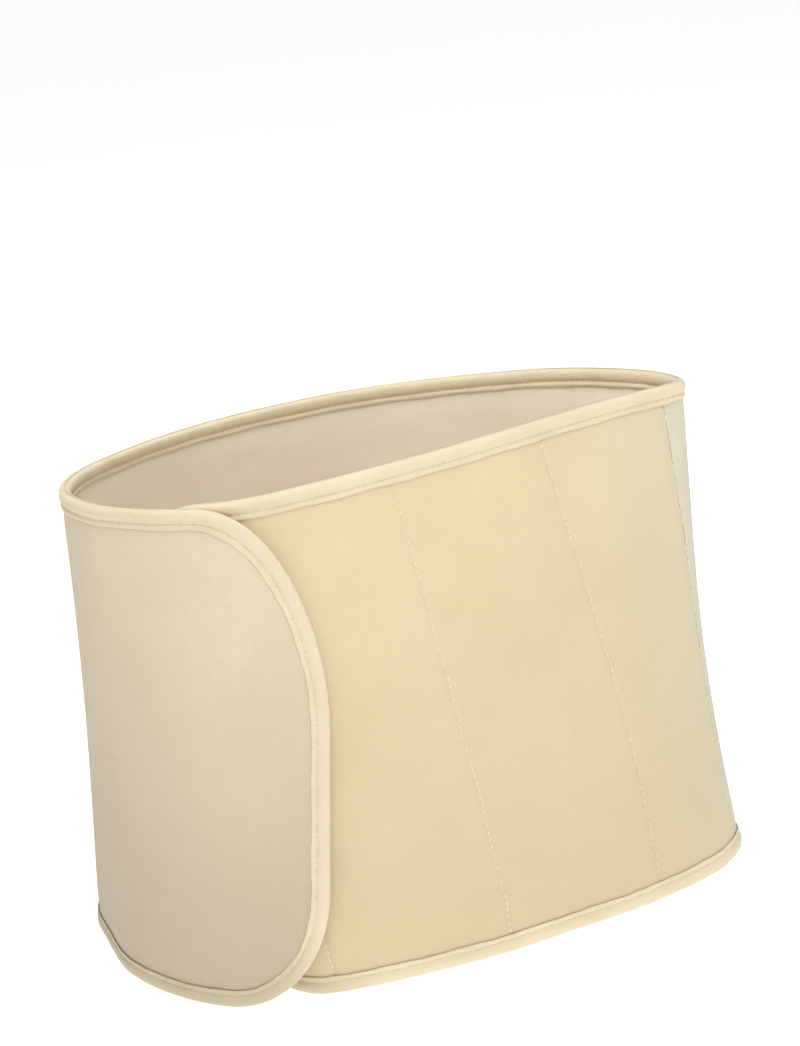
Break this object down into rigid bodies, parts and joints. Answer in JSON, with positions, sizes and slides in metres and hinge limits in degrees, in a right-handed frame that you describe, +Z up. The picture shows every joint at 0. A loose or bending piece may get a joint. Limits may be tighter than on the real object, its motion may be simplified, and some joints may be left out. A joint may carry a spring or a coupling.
{
  "type": "back brace",
  "caption": "Wide padded cloth back brace, closed round the waist by a round-ended hook flap over a loop-cloth front, with sewn-in stays and bound edges.",
  "frame": {"origin": "centre of the box round the closed band, on the floor under its lower edge", "axes": "+Z up through the open band, +X along its length towards the right fold, -Y towards the side where the flap closes"},
  "size_m": [0.3812, 0.2008, 0.28],
  "materials": {
    "plain_cloth": "smooth fine plain knit, cool beige",
    "loop_cloth": "brushed loop pile, warm yellow beige",
    "lining_cloth": "smooth plain knit lining, beige",
    "padding": "soft white felt interlining",
    "binding_tape": "cream folded binding tape",
    "hook_tape": "moulded nylon hooks, cream",
    "stay_steel": "flat spring steel"
  },
  "bodies": {
    "back_panel": {"back_outer_cloth": "plain_cloth", "back_side_cloth": "plain_cloth", "back_lining": "lining_cloth", "back_padding_left": "padding", "back_padding_middle": "padding", "back_padding_right": "padding", "back_stay_left": "stay_steel", "back_stay_right": "stay_steel", "back_binding_top": "binding_tape", "back_binding_bottom": "binding_tape"},
    "left_side": {"left_side_outer": "plain_cloth", "left_side_padding": "padding", "left_side_lining": "lining_cloth", "left_side_binding_top": "binding_tape", "left_side_binding_bottom": "binding_tape"},
    "closure_flap": {"flap_outer": "plain_cloth", "flap_padding": "padding", "flap_lining": "lining_cloth", "flap_hook_panel": "hook_tape", "flap_binding": "binding_tape"},
    "front_panel": {"front_loop_cloth": "loop_cloth", "front_lining": "lining_cloth", "front_stay_side": "stay_steel", "front_stay_right": "stay_steel", "front_stay_left": "stay_steel", "front_stay_lap": "stay_steel", "front_padding_right": "padding", "front_padding_left": "padding", "front_padding_lap": "padding", "front_padding_end": "padding", "front_binding": "binding_tape"}
  },
  "joints": [
    {"name": "side_opens", "type": "hinge", "parent": "back_panel", "child": "left_side", "pos_m": [-0.1915, 0.0071, 0], "axis": [-0.0815, 0.0911, -0.9925], "range_deg": [0, 110]},
    {"name": "flap_peels", "type": "hinge", "parent": "left_side", "child": "closure_flap", "pos_m": [-0.1219, -0.0934, 0], "axis": [-0.1121, -0.0326, -0.9932], "range_deg": [0, 140]},
    {"name": "front_opens", "type": "hinge", "parent": "back_panel", "child": "front_panel", "pos_m": [0.192, 0.0206, 0], "axis": [-0.0551, 0.0711, 0.9959], "range_deg": [0, 34]}
  ],
  "couplings": [
    {"joint": "front_opens", "follows": "side_opens", "ratio": 0.3}
  ]
}
